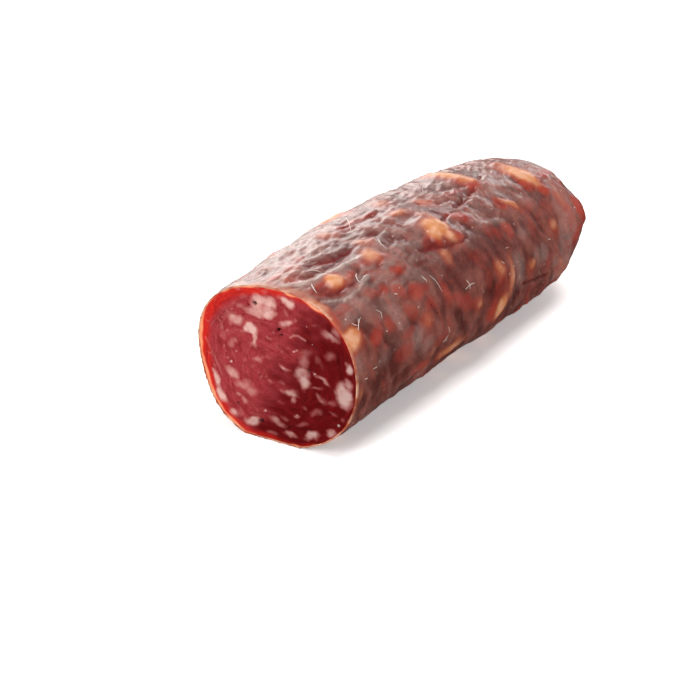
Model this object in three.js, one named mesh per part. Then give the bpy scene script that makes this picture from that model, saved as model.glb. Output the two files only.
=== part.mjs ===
// A dry-cured salami-type sausage with its first slices gone. It lies on its belly along Y:
// the straight cut end faces -Y, the closed end of the gut faces +Y, and up is +Z.
// Two pieces: the gut casing, a thin skin closed at the far end and cut open at the near one,
// and the meat filling that was stuffed into it.
import * as THREE from 'three';

// Driving dimensions, in millimetres.
const CALIBRE = 50;            // width across the cut end
const BODY_LENGTH = 144;       // cut face to the crown of the closed end
const HEIGHT_RATIO = 0.92;     // it dried lying down, so it is lower than it is wide
const TAPER = 0.043;           // share of the radius lost from the cut to the far shoulder
const SWELL = 0.066;           // share of the radius gained half way along
const DOME_LENGTH = 29;        // closed end, from its shoulder to its crown
const DOME_POWER = 2.5;        // 2 is an ellipse, higher is fuller at the shoulder
const BELLY_SINK = 1.2;        // depth flattened off the underside
const CASING_WALL = 0.45;      // the dried gut, drawn at the thickness of a few layers
const GAP = 0.3;               // clear space between casing and filling
const KNOT_RADIUS = 4;         // gathered stub of gut on the crown
const KNOT_HEIGHT = 2.4;

// The cross-section is a round that was pressed out of true: three and four soft corners.
const THREE_CORNERS = { share: 0.02, turn: 45 };
const FOUR_CORNERS = { share: -0.021, turn: 25 };

// Where lumps of fat and firm meat push the skin out, or it has sunk in between them.
// along: from the cut, mm. turn: round the axis, 0 at +X and 90 on top, degrees.
const LUMPS = [
  { along: 12, turn: 74, spread: 9, height: 0.5 },
  { along: 34, turn: 70, spread: 8, height: 0.6 },
  { along: 60, turn: 62, spread: 9, height: 1.4 },
  { along: 74, turn: 78, spread: 8, height: -0.9 },
  { along: 96, turn: 95, spread: 9, height: 1.0 },
  { along: 106, turn: 88, spread: 6, height: -0.7 },
  { along: 113, turn: 66, spread: 8, height: 0.9 },
  { along: 77, turn: 2, spread: 8, height: 0.8 },
  { along: 100, turn: 20, spread: 10, height: -0.5 },
  { along: 132, turn: 14, spread: 7, height: 1.6 },
  { along: 48, turn: 172, spread: 11, height: 0.9 },
  { along: 90, turn: 190, spread: 10, height: 0.8 },
  { along: 122, turn: 150, spread: 9, height: 0.8 },
  { along: 20, turn: 205, spread: 9, height: 0.6 },
  { along: 2, turn: 165, spread: 8, height: 0.6 },
  { along: 30, turn: -35, spread: 12, height: -0.8 },
  { along: 60, turn: -35, spread: 12, height: -0.8 },
  { along: 125, turn: 118, spread: 8, height: -1.5 },
  { along: 133, turn: 47, spread: 5, height: -1.3 },
  { along: 131, turn: -10, spread: 8, height: -0.5 },
  { along: 131, turn: 18, spread: 4, height: 1.4 },
];

// Facets round the body, and rings along it.
const FACETS = 44;
const STRAIGHT_RINGS = 18;
const DOME_RINGS = 7;
const KNOT_RINGS = [1, 0.7, 0.4];   // shares of KNOT_RADIUS

const radians = THREE.MathUtils.degToRad;
const shoulderAt = BODY_LENGTH - DOME_LENGTH;
const shoulderRadius = (CALIBRE / 2) * (1 - TAPER);

function sectionShape(angle) {
  const three = THREE_CORNERS.share * Math.cos(3 * angle - radians(THREE_CORNERS.turn));
  const four = FOUR_CORNERS.share * Math.cos(4 * angle - radians(FOUR_CORNERS.turn));
  return 1 + three + four;
}

function barrelRadius(along) {
  const share = along / shoulderAt;
  return (CALIBRE / 2) * (1 - TAPER * share + SWELL * Math.sin(Math.PI * share));
}

// Height of the axis: every ring of the barrel rests on the table, the dome keeps the last one's.
function axisHeight(along) {
  const radius = barrelRadius(Math.min(along, shoulderAt));
  return HEIGHT_RATIO * radius * sectionShape(radians(-90)) - BELLY_SINK;
}

function lumpHeight(along, angle, radius) {
  let height = 0;
  for (const lump of LUMPS) {
    const turned = Math.atan2(Math.sin(angle - radians(lump.turn)), Math.cos(angle - radians(lump.turn)));
    const distance = Math.hypot(along - lump.along, turned * radius);
    height += lump.height * Math.exp(-0.5 * (distance / lump.spread) ** 2);
  }
  return height;
}

// The rings from the cut to the crown, of the surface that lies `inset` under the skin.
function ringsAt(inset) {
  const rings = [];
  for (let i = 0; i < STRAIGHT_RINGS; i += 1) {
    const along = (shoulderAt * i) / STRAIGHT_RINGS;
    rings.push({ along, radius: barrelRadius(along) });
  }
  // How far round the dome the knot's foot is, so that the last ring lands on it.
  const footAngle = Math.acos((KNOT_RADIUS / shoulderRadius) ** (DOME_POWER / 2));
  for (let i = 0; i <= DOME_RINGS; i += 1) {
    const angle = (footAngle * i) / DOME_RINGS;
    const forward = (DOME_LENGTH - inset) * Math.sin(angle) ** (2 / DOME_POWER);
    rings.push({
      along: shoulderAt + forward,
      radius: shoulderRadius * Math.cos(angle) ** (2 / DOME_POWER),
    });
  }
  return rings;
}

function ringPoint(ring, angle, inset) {
  const lump = lumpHeight(ring.along, angle, ring.radius) * Math.min(1, ring.radius / shoulderRadius);
  const out = ring.radius * sectionShape(angle) + lump;
  // The skin's thickness shows less and less where the dome closes across the axis.
  const skin = inset * Math.min(1, ring.radius / shoulderRadius);
  const x = (out - skin) * Math.cos(angle);
  const z = axisHeight(ring.along) + (HEIGHT_RATIO * out - skin) * Math.sin(angle);
  return new THREE.Vector3(x, ring.along, Math.max(z, inset));
}

// One closed-ended skin: vertices ring by ring, and last the crown point.
function skin(inset, knotHeight) {
  const points = [];
  const rings = ringsAt(inset);
  for (const ring of rings) {
    for (let i = 0; i < FACETS; i += 1) {
      points.push(ringPoint(ring, (2 * Math.PI * i) / FACETS, inset));
    }
  }
  // Across the crown the rings shrink to the pole, and the knot stands up on it.
  const foot = points.slice(-FACETS);
  const crown = new THREE.Vector3(0, BODY_LENGTH - inset, axisHeight(BODY_LENGTH));
  const innerRings = KNOT_RINGS.slice(1);
  for (const share of innerRings) {
    const rise = knotHeight * (1 - share * share);
    for (const point of foot) {
      const across = crown.clone().lerp(point, share);
      across.y = crown.y - (crown.y - point.y) * share * share + rise;
      points.push(across);
    }
  }
  crown.y += knotHeight;
  points.push(crown);
  return { points, ringCount: rings.length + innerRings.length };
}

// Triangles over a skin, facing away from the axis.
function skinTriangles(ringCount, firstIndex) {
  const triangles = [];
  for (let ring = 0; ring < ringCount - 1; ring += 1) {
    for (let i = 0; i < FACETS; i += 1) {
      const next = (i + 1) % FACETS;
      const a = firstIndex + ring * FACETS + i;
      const b = firstIndex + ring * FACETS + next;
      const c = a + FACETS;
      const d = b + FACETS;
      triangles.push([a, c, b], [b, c, d]);
    }
  }
  const lastRing = firstIndex + (ringCount - 1) * FACETS;
  const pole = firstIndex + ringCount * FACETS;
  for (let i = 0; i < FACETS; i += 1) {
    triangles.push([lastRing + i, pole, lastRing + ((i + 1) % FACETS)]);
  }
  return triangles;
}

function solid(points, triangles) {
  const geometry = new THREE.BufferGeometry();
  geometry.setFromPoints(points);
  geometry.setIndex(triangles.flat());
  geometry.computeVertexNormals();
  return geometry;
}

// The gut: an outer and an inner skin, joined by the cut edge.
function casingGeometry() {
  const outer = skin(0, KNOT_HEIGHT);
  const inner = skin(CASING_WALL, 0);
  const innerFirst = outer.points.length;
  const triangles = skinTriangles(outer.ringCount, 0);
  for (const [a, b, c] of skinTriangles(inner.ringCount, innerFirst)) {
    triangles.push([a, c, b]);
  }
  for (let i = 0; i < FACETS; i += 1) {
    const next = (i + 1) % FACETS;
    triangles.push([i, next, innerFirst + i], [next, innerFirst + next, innerFirst + i]);
  }
  return solid([...outer.points, ...inner.points], triangles);
}

// The stuffed meat: the same shape inside the gut, closed by the flat cut face.
function fillingGeometry() {
  const body = skin(CASING_WALL + GAP, 0);
  const triangles = skinTriangles(body.ringCount, 0);
  const faceCentre = body.points.length;
  const points = [...body.points, new THREE.Vector3(0, 0, axisHeight(0))];
  for (let i = 0; i < FACETS; i += 1) {
    triangles.push([i, (i + 1) % FACETS, faceCentre]);
  }
  return solid(points, triangles);
}

const casing = new THREE.Mesh(
  casingGeometry(),
  new THREE.MeshStandardMaterial({ color: 0x7a4a44, roughness: 0.45, metalness: 0 }),
);
casing.name = 'casing';

const filling = new THREE.Mesh(
  fillingGeometry(),
  new THREE.MeshStandardMaterial({ color: 0x96282c, roughness: 0.4, metalness: 0 }),
);
filling.name = 'filling';

// The part's origin is the middle of its footprint, on the table.
const group = new THREE.Group();
group.add(casing, filling);
const extent = new THREE.Box3().setFromObject(casing);
const middle = extent.getCenter(new THREE.Vector3());
for (const mesh of [casing, filling]) {
  mesh.position.set(-middle.x, -middle.y, 0);
}

export default group;
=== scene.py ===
# A dry-cured sausage lying on a pale table. A few slices have been taken off its near end,
# so the cut face shows the coarse mince; the far end is still closed by its gathered gut.
# The scene is in metres, +Z up, with the sausage along Y and the cut face towards -Y. The
# sausage's own sizes are in mm, and turn to metres where its meshes are laid.
import math

import bpy
import numpy as np
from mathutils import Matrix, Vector, noise


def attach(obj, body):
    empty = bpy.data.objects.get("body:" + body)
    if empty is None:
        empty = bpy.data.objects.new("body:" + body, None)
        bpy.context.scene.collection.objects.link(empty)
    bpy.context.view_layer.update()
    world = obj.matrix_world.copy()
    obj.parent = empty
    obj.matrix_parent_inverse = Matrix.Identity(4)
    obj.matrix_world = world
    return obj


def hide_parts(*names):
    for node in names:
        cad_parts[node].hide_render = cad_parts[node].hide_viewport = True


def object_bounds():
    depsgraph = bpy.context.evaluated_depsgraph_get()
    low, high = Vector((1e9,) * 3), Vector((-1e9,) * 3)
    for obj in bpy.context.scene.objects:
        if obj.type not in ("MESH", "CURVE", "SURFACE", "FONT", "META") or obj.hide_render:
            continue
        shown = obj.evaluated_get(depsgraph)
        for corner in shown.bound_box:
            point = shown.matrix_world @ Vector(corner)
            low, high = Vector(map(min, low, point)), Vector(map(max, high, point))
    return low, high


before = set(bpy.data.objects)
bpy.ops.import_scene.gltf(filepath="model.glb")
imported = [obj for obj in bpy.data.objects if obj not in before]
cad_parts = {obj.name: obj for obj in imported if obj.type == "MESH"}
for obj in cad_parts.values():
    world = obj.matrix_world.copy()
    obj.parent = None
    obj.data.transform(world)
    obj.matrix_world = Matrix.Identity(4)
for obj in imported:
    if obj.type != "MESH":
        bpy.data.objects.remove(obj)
cad_low, cad_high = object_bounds()

# ------------------------------------------------------------------------------------------
# Meat filling
# Coarsely minced lean and fat pork, stuffed wet into gut and dried until it slices cleanly. The
# knife left its near end flat: rose to deep red lean smeared round the face, soft white fat,
# and a brighter red rim where the meat dried first. The face is painted paler and hazier towards
# its upper left, which is painted reflection, and darker towards its lower right, which is painted
# shade. The rim's wide bright band on the upper left is partly painted glow.
# ------------------------------------------------------------------------------------------
MM = 0.001
CALIBRE = 50.0            # width across the cut end
BODY_LENGTH = 144.0       # cut face to the crown of the closed end
HEIGHT_RATIO = 0.92       # it dried lying down, so it is lower than it is wide
TAPER = 0.043             # share of the radius lost from the cut to the far shoulder
SWELL = 0.066             # share of the radius gained half way along
DOME_LENGTH = 29.0        # closed end, from its shoulder to its crown
DOME_POWER = 2.5          # 2 is an ellipse, higher is fuller at the shoulder
BELLY_SINK = 1.2          # depth flattened off the underside
AXIS_X = 0.02             # the long axis lies this far to +X of the middle of the box
SHOULDER = BODY_LENGTH - DOME_LENGTH
SHOULDER_RADIUS = CALIBRE / 2 * (1 - TAPER)
CASING_WALL = 0.35        # dried gut at the cut edge

# Broad lumps: along from the cut, turn round the axis (0 at +X, 90 on top), spread, height.
LUMPS = [
    (12, 74, 9, 0.5), (34, 70, 8, 0.6), (60, 62, 9, 1.4), (74, 78, 8, -0.9), (96, 95, 9, 1.0),
    (106, 88, 6, -0.7), (113, 66, 8, 0.9), (77, 2, 8, 0.8), (100, 20, 10, -0.5), (132, 14, 7, 1.6),
    (48, 172, 11, 0.9), (90, 190, 10, 0.8), (122, 150, 9, 0.8), (20, 205, 9, 0.6), (2, 165, 8, 0.6),
    (30, -35, 12, -0.8), (60, -35, 12, -0.8), (125, 118, 8, -1.5), (133, 47, 5, -1.3), (131, -10, 8, -0.5),
    (131, 18, 4, 1.4),
]


def section_shape(turn):
    """A round that was pressed out of true: three and four soft corners."""
    three = 0.02 * np.cos(3 * turn - math.radians(45))
    four = -0.021 * np.cos(4 * turn - math.radians(25))
    return 1 + three + four


def barrel_radius(along):
    """The plain round's radius, from the cut to the shoulder."""
    share = along / SHOULDER
    return CALIBRE / 2 * (1 - TAPER * share + SWELL * np.sin(np.pi * share))


def axis_height(along):
    """Every ring of the barrel rests on the table, and the dome keeps the last one's height."""
    radius = barrel_radius(np.minimum(along, SHOULDER))
    return HEIGHT_RATIO * radius * section_shape(math.radians(-90)) - BELLY_SINK


def round_the_axis(turn, centre_degrees):
    """How far a turn is from a direction, in radians, the short way round."""
    away = turn - math.radians(centre_degrees)
    return np.arctan2(np.sin(away), np.cos(away))


def body_points(along, radius, turn, inset):
    """Points of the surface that lies inset under the plain skin, about the sausage's own axis."""
    lump = 0.0
    for centre, centre_turn, spread, height in LUMPS:
        distance = np.hypot(along - centre, round_the_axis(turn, centre_turn) * radius)
        lump = lump + height * np.exp(-0.5 * (distance / spread) ** 2)
    closing = np.minimum(1, radius / SHOULDER_RADIUS)
    out = radius * section_shape(turn) + lump * closing
    x = (out - inset * closing) * np.cos(turn)
    z = axis_height(along) + (HEIGHT_RATIO * out - inset * closing) * np.sin(turn)
    return np.stack(np.broadcast_arrays(x, along, np.maximum(z, inset)), axis=-1)


def meridian(knot_profile, rings):
    """Ring positions from the cut to the crown, evenly spaced over the surface."""
    barrel = [(along, barrel_radius(along)) for along in np.linspace(0, SHOULDER, 400)]
    foot = math.acos((knot_profile[0][1] / SHOULDER_RADIUS) ** (DOME_POWER / 2))
    dome = [
        (SHOULDER + DOME_LENGTH * math.sin(angle) ** (2 / DOME_POWER),
         SHOULDER_RADIUS * math.cos(angle) ** (2 / DOME_POWER))
        for angle in np.linspace(0, foot, 400)[1:]
    ]
    line = np.array(barrel + dome + knot_profile)
    walked = np.concatenate([[0], np.cumsum(np.hypot(*np.diff(line, axis=0).T))])
    even = np.linspace(0, walked[-1], rings)
    return np.interp(even, walked, line[:, 0]), np.interp(even, walked, line[:, 1])


def grain(points, size, seed):
    """Smooth noise from -1 to 1 at points in mm. size is one blob's width, or one for each axis."""
    places = points.reshape(-1, 3) / np.array(size) + seed * 11.7
    found = np.array([noise.noise(place) for place in places.tolist()])
    return found.reshape(points.shape[:-1])


def ramp(value, start, end):
    """0 up to start, 1 from end, and smooth between them."""
    share = np.clip((value - start) / (end - start), 0, 1)
    return share * share * (3 - 2 * share)


def blot(u, v, piece, wobble, softness):
    """How far points lie inside one oval piece: 1 well inside, 0 outside its soft edge."""
    centre_u, centre_v, half_u, half_v, tilt, strength = piece
    c, s = math.cos(math.radians(tilt)), math.sin(math.radians(tilt))
    du, dv = u - centre_u, v - centre_v
    reach = np.hypot((du * c + dv * s) / half_u, (dv * c - du * s) / half_v)
    inside = (1 - reach) * min(half_u, half_v) + wobble
    return strength * ramp(inside, -softness, softness)


def line_distance(u, v, line):
    """Distance from points to a line of a few straight stretches."""
    nearest = np.full(np.shape(u), 1e9)
    for (u0, v0), (u1, v1) in zip(line, line[1:]):
        du, dv = u1 - u0, v1 - v0
        share = np.clip(((u - u0) * du + (v - v0) * dv) / (du * du + dv * dv), 0, 1)
        nearest = np.minimum(nearest, np.hypot(u - u0 - share * du, v - v0 - share * dv))
    return nearest


def lay_mesh(name, points, faces, atlas):
    """A smooth mesh from points in mm about the sausage's axis, with each point's place on its atlas."""
    placed = (points + np.array([AXIS_X, 0, 0])) * MM + np.array([0, cad_low.y, 0])
    mesh = bpy.data.meshes.new(name)
    mesh.from_pydata(placed.tolist(), [], faces)
    mesh.polygons.foreach_set("use_smooth", [True] * len(mesh.polygons))
    corners = np.empty(len(mesh.loops), np.int64)
    mesh.loops.foreach_get("vertex_index", corners)
    layer = mesh.uv_layers.new(name="OFBake")
    layer.uv.foreach_set("vector", np.asarray(atlas, np.float32)[corners].ravel())
    piece = bpy.data.objects.new(name, mesh)
    bpy.context.scene.collection.objects.link(piece)
    return piece


def paint(piece, name, values):
    """Gives every point of a piece one number, for its material to read."""
    layer = piece.data.attributes.new(name, "FLOAT", "POINT")
    layer.data.foreach_set("value", np.asarray(values, np.float32).ravel())


def ring_faces(first, second, count, flip=False):
    """The quads between two rings of as many points."""
    faces = []
    for i in range(count):
        j = (i + 1) % count
        face = [first + i, second + i, second + j, first + j]
        faces.append(face[::-1] if flip else face)
    return faces


# Fat on the cut face: x from the axis, z above the table, half width, half height, tilt in
# degrees, and how white it is. The large pieces are firm back fat, the faint ones are smears.
FACE_FAT = [
    (-5.0, 40.0, 2.9, 1.8, 5, 0.9), (-1.9, 39.5, 2.0, 1.9, 0, 0.95), (-5.8, 38.2, 2.6, 2.0, 0, 0.8),
    (-3.9, 37.4, 3.2, 1.6, 0, 0.8), (-2.1, 36.4, 2.4, 1.2, 5, 0.95), (-6.6, 35.9, 2.9, 1.4, 0, 0.75),
    (3.9, 41.2, 2.3, 1.4, -22, 1.0), (-12.6, 32.2, 2.1, 1.5, 10, 0.8), (-7.9, 31.1, 2.2, 1.5, -12, 1.0),
    (-6.7, 28.6, 0.9, 2.3, 8, 0.85), (3.0, 34.6, 1.9, 0.7, 25, 0.8), (-17.3, 29.0, 0.8, 1.0, 0, 0.5),
    (-17.6, 26.6, 0.8, 0.9, 0, 0.45), (-14.2, 25.3, 1.1, 1.1, 0, 0.5), (-12.9, 26.0, 0.6, 0.6, 0, 0.5),
    (-6.0, 22.5, 0.8, 0.8, 0, 0.65), (-5.0, 17.3, 0.6, 0.5, 0, 0.4), (2.3, 22.0, 1.7, 0.6, -6, 0.75),
    (8.6, 25.2, 1.3, 2.8, -5, 0.55), (7.9, 21.6, 2.1, 2.2, 0, 0.75), (8.6, 19.0, 1.8, 1.9, 0, 0.9),
    (9.0, 28.2, 1.6, 0.9, 20, 0.4), (4.4, 15.5, 2.1, 0.8, 0, 0.8), (5.0, 14.3, 0.9, 1.1, 0, 0.7),
    (20.9, 18.7, 2.5, 3.7, 8, 1.0), (22.3, 22.4, 1.1, 1.3, 0, 0.7), (22.3, 26.6, 1.0, 1.7, 15, 0.95),
    (16.5, 28.8, 1.3, 1.1, 0, 0.45), (14.5, 21.6, 2.2, 0.5, -32, 0.8), (11.9, 22.7, 1.0, 0.5, -40, 0.5),
    (-14.2, 16.9, 2.3, 1.7, -10, 0.8), (-10.4, 14.2, 2.7, 1.5, 0, 0.6), (-8.0, 13.2, 1.9, 1.2, 0, 0.65),
    (-9.8, 15.6, 1.4, 0.9, 0, 0.5), (-19.3, 13.6, 1.3, 2.7, 22, 1.0), (-17.6, 9.4, 1.2, 2.4, 25, 0.95),
    (-12.5, 10.4, 0.9, 0.5, 0, 0.7), (-10.6, 9.7, 1.1, 0.6, -15, 0.7), (16.5, 34.4, 2.2, 1.1, -12, 0.75),
    (18.5, 36.3, 1.3, 1.2, -40, 0.65), (5.8, 36.0, 0.8, 0.7, 0, 0.5), (3.1, 37.8, 0.4, 0.8, 0, 0.5),
    (-11.3, 36.8, 1.6, 0.8, 0, 0.5), (-13.6, 37.3, 0.9, 0.6, 0, 0.45), (1.2, 42.0, 1.0, 0.8, 0, 0.5),
    (12.4, 11.8, 1.8, 0.9, 20, 0.45), (14.3, 16.0, 1.4, 0.8, -30, 0.55), (16.8, 15.6, 2.0, 0.9, 20, 0.4),
    (12.4, 18.7, 1.9, 0.4, 20, 0.5), (6.5, 9.3, 0.8, 0.4, 0, 0.65), (8.0, 7.2, 1.4, 0.5, 15, 0.5),
    (2.4, 7.8, 1.5, 0.5, 0, 0.45), (0.0, 6.1, 2.3, 0.7, -5, 0.65), (-3.6, 8.2, 0.5, 0.5, 0, 0.6),
    (1.6, 18.2, 1.0, 0.6, 0, 0.4), (-2.0, 17.2, 0.7, 0.5, 0, 0.45), (-8.0, 4.0, 2.4, 1.2, 10, 0.95),
    (4.2, 3.2, 1.8, 0.9, -10, 0.75), (11.0, 4.4, 2.2, 1.1, 25, 0.95), (-2.0, 2.4, 1.5, 0.7, 0, 0.6),
    (17.2, 6.9, 1.5, 1.0, 30, 0.8), (-13.8, 5.2, 1.4, 1.1, -30, 0.8), (8.8, 12.2, 0.9, 0.6, 0, 0.4),
    (-9.8, 39.5, 1.0, 1.0, 0, 0.35), (-10.6, 29.6, 1.2, 0.7, 20, 0.35), (-15.8, 33.0, 1.2, 0.7, 20, 0.35),
    (0.2, 27.8, 1.2, 0.7, -20, 0.3), (-2.6, 24.0, 1.4, 0.8, 10, 0.3), (11.8, 36.6, 1.2, 0.4, -10, 0.4),
    (13.0, 26.4, 1.4, 0.8, -40, 0.35), (-16.4, 21.4, 0.8, 0.5, 0, 0.4), (-7.4, 20.0, 0.8, 0.5, 30, 0.35),
    (17.6, 12.4, 1.0, 0.5, 10, 0.4), (20.4, 11.6, 0.7, 0.9, -20, 0.4), (1.0, 12.0, 1.2, 0.4, 0, 0.35),
]
# Sinew and thin smears that follow the knife or the rim: points in x and z, half width, whiteness.
FACE_STRANDS = [
    ([(4.4, 31.3), (5.4, 32.2), (7.0, 32.4), (9.0, 31.6)], 0.2, 0.55),
    ([(-22.6, 25.0), (-20.6, 21.5), (-18.6, 18.0), (-17.4, 15.0)], 0.25, 0.35),
    ([(-19.6, 27.0), (-19.2, 23.6), (-18.8, 20.8)], 0.2, 0.2),
    ([(5.4, 27.5), (6.6, 28.3)], 0.15, 0.6),
    ([(-16.0, 13.6), (-11.6, 10.9), (-6.0, 8.8), (0.0, 8.0)], 0.25, 0.2),
    ([(-17.0, 16.0), (-12.0, 12.4), (-6.6, 10.6), (-1.0, 10.2)], 0.25, 0.16),
    ([(-9.0, 33.4), (-4.0, 33.9), (2.0, 33.4), (7.0, 34.6)], 0.3, 0.2),
    ([(0.0, 39.6), (6.0, 38.6), (12.0, 37.0), (16.0, 34.8)], 0.25, 0.14),
]
# Air holes left by the stuffing, painted near black inside as painted shade in the pits, and
# small bright white specks, which are painted glints on the moist face.
FACE_HOLES = [
    (-6.6, 38.6, 0.65, 0.45, -15, 1.0), (-8.6, 37.7, 0.35, 0.3, 0, 0.9), (0.7, 32.6, 0.7, 0.35, 35, 1.0),
    (1.1, 31.3, 0.25, 0.2, 0, 0.8), (1.8, 31.4, 0.35, 0.25, 20, 0.9), (10.1, 23.3, 0.3, 0.55, 0, 0.8),
    (-12.5, 8.3, 0.35, 0.3, 0, 0.7), (-5.0, 4.9, 0.7, 0.4, 10, 0.9),
]
FACE_SPECKS = [
    (9.5, 35.6, 0.25), (11.2, 30.9, 0.3), (-14.4, 20.0, 0.2), (-10.7, 19.6, 0.15), (-12.7, 23.4, 0.1),
    (19.2, 9.8, 0.45), (-3.6, 8.3, 0.2), (6.3, 9.5, 0.2), (5.4, 27.6, 0.25), (12.0, 22.8, 0.15),
    (17.4, 3.6, 0.2), (-6.4, 4.0, 0.2),
]

FACE_COLUMNS = 480
FACE_RINGS = 92
SIDE_RINGS = 30
FILLING_DEEP = 1.9        # how far under the skin the filling's hidden side lies
CROWN = [(BODY_LENGTH - 0.1, 3.0), (BODY_LENGTH, 0.05)]   # how a hidden side closes: along, radius

turn = np.linspace(0, 2 * np.pi, FACE_COLUMNS, endpoint=False)
outline = body_points(np.zeros(FACE_COLUMNS), barrel_radius(0), turn, CASING_WALL)
centre = np.array([0, 0, axis_height(0)])
shares = np.linspace(0, 1, FACE_RINGS + 1)[1:]
face_points = centre + (outline - centre) * shares[:, None, None]
x, z = face_points[..., 0], face_points[..., 2]
rim_depth = (1 - shares[:, None]) * np.hypot(outline[:, 0], outline[:, 2] - centre[2])
rim_turn = np.broadcast_to(turn, rim_depth.shape)

wobble = 0.4 * grain(face_points, 2.6, 1) + 0.25 * grain(face_points, 0.9, 2)
# The pieces were torn by the mincer, so their outlines are pulled about.
pulled_x = x + 0.9 * grain(face_points, 3.2, 13) + 0.3 * grain(face_points, 1.5, 14)
pulled_z = z + 0.9 * grain(face_points, 3.2, 15) + 0.3 * grain(face_points, 1.5, 16)
fat = np.zeros_like(x)
for piece in FACE_FAT:
    size = min(piece[2], piece[3])
    softness = 0.35 + (1.0 - 0.75 * piece[5]) * size
    fat = np.maximum(fat, blot(pulled_x, pulled_z, piece, wobble * min(0.9, size), softness))
fat *= 1 + 0.25 * grain(face_points, 1.6, 17)
for line, half_width, strength in FACE_STRANDS:
    strand = ramp(half_width + 0.35 - line_distance(x, z, line) + 0.4 * wobble, 0, 0.5)
    fat = np.maximum(fat, strength * strand)
# Mince smeared by the knife and by stuffing, in streaks that run round with the rim.
swirl = np.stack([rim_turn * 3.2 + 0.04 * x, rim_depth / 0.9, 0 * x], axis=-1)
swirl[..., 1] += 2.0 * grain(face_points, 6.0, 3)
streak = grain(swirl, 1.0, 4) + 0.6 * grain(swirl * np.array([1.8, 2.3, 1]), 1.0, 5)
# The lean lies in pools with plain edges, and is darker towards the lower right. That slope is
# painted shade, and the paler hazy red away from it is painted reflection; the pools are the
# meat's own.
deep_lean_and_shade = 0.85 * x - 0.45 * (z - 22) + 5.0 * grain(face_points, 6.0, 10)
deep_lean_and_shade = ramp(deep_lean_and_shade + 4.0 * grain(face_points, (3.0, 3.0, 2.0), 18) + streak, -5.5, 8.5)
pocket = grain(face_points, (4.5, 4.5, 3.0), 6) + 0.6 * grain(face_points, 1.8, 7)
crumb = grain(face_points, (1.5, 1.0, 1.0), 11) + 0.6 * grain(face_points, 0.8, 12)
shown = 1 - 0.85 * deep_lean_and_shade
fat = np.maximum(fat, 0.35 * shown * ramp(pocket + 0.3 * streak, 0.2, 0.9))
fat = np.maximum(fat, 0.45 * shown * ramp(crumb + 0.5 * pocket, 0.45, 1.0))
shaded_holes = np.zeros_like(x)
for piece in FACE_HOLES:
    shaded_holes = np.maximum(shaded_holes, blot(x, z, piece, 0.3 * wobble, 0.2))
glint_specks = np.zeros_like(x)
for speck_x, speck_z, size in FACE_SPECKS:
    away = np.hypot(x - speck_x, z - speck_z) + 0.5 * wobble
    glint_specks = np.maximum(glint_specks, 0.6 * ramp(0.8 * size - away, -0.15, 0.15))
# The dried rim is deepest on the upper left, where it is nearly 4 mm, and thinnest opposite. Its
# extra depth there is partly painted light: the glow of light entering the meat from behind.
dried_and_lit_rim_width = 1.7 + 2.0 * np.cos(round_the_axis(rim_turn, 165)) + 0.7 * grain(face_points, 4.0, 8)
dried_and_lit_rim = ramp(dried_and_lit_rim_width - rim_depth, -0.6, 1.8)
edge_width = 0.2 + 0.6 * np.cos(round_the_axis(rim_turn, 190)) + 0.8 * grain(face_points, 3.4, 9)
edge_width += 0.9 * np.exp(-(round_the_axis(rim_turn, 60) / 0.3) ** 2)
edge = ramp(edge_width - rim_depth, -0.1, 0.5)

relief = 0.10 * fat + 0.05 * streak + 0.05 * wobble - 0.9 * shaded_holes + 0.12 * glint_specks - 0.06 * dried_and_lit_rim
face_points[..., 1] -= relief * ramp(rim_depth, 0.0, 0.8)

# The face's centre and rings, and the side from just inside the rim to the crown.
side_along, side_radius = meridian(CROWN, SIDE_RINGS)
side_inset = CASING_WALL + (FILLING_DEEP - CASING_WALL) * ramp(side_along[1:], 0, 8)
side_points = body_points(
    np.minimum(side_along[1:, None], BODY_LENGTH - FILLING_DEEP), side_radius[1:, None], turn,
    side_inset[:, None],
)
points = np.concatenate([centre[None], face_points.reshape(-1, 3), side_points.reshape(-1, 3)])
faces = [[0, 1 + i, 1 + (i + 1) % FACE_COLUMNS] for i in range(FACE_COLUMNS)]
for ring in range(FACE_RINGS + SIDE_RINGS - 2):
    start = 1 + ring * FACE_COLUMNS
    faces += ring_faces(start, start + FACE_COLUMNS, FACE_COLUMNS)
last_ring = 1 + (FACE_RINGS + SIDE_RINGS - 2) * FACE_COLUMNS
faces.append([last_ring + i for i in reversed(range(FACE_COLUMNS))])

# Its atlas holds the cut face at full size, and the hidden side in a strip above it.
ATLAS_SPAN = 58.0         # how much of the face one side of the atlas takes
FACE_FOOT = 0.02
STRIP_FOOT = 0.84
STRIP_HEIGHT = 0.15
face_atlas = np.stack([0.5 + x / ATLAS_SPAN, FACE_FOOT + z / ATLAS_SPAN], axis=-1).reshape(-1, 2)
side_share = (np.arange(SIDE_RINGS - 1) + 1) / SIDE_RINGS
side_atlas = np.stack(np.broadcast_arrays(
    turn / (2 * np.pi), STRIP_FOOT + STRIP_HEIGHT * side_share[:, None]), axis=-1)
centre_atlas = [[0.5, FACE_FOOT + centre[2] / ATLAS_SPAN]]
atlas = np.concatenate([centre_atlas, face_atlas, side_atlas.reshape(-1, 2)])

filling = lay_mesh("meat_filling", points, faces, atlas)
hidden = np.zeros(side_points.shape[0] * FACE_COLUMNS)
for name, values in [("fat", fat), ("streak", streak), ("shaded_holes", shaded_holes), ("glint_specks", glint_specks),
                     ("dried_and_lit_rim", dried_and_lit_rim), ("edge", edge), ("deep_lean_and_shade", deep_lean_and_shade)]:
    paint(filling, name, np.concatenate([values[:1, 0], values.ravel(), hidden]))


def linear(hex_colour):
    """An sRGB hex colour as the linear RGBA that a shader takes."""
    parts = [int(hex_colour[i:i + 2], 16) / 255 for i in (1, 3, 5)]
    return [p / 12.92 if p <= 0.04045 else ((p + 0.055) / 1.055) ** 2.4 for p in parts] + [1.0]


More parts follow.
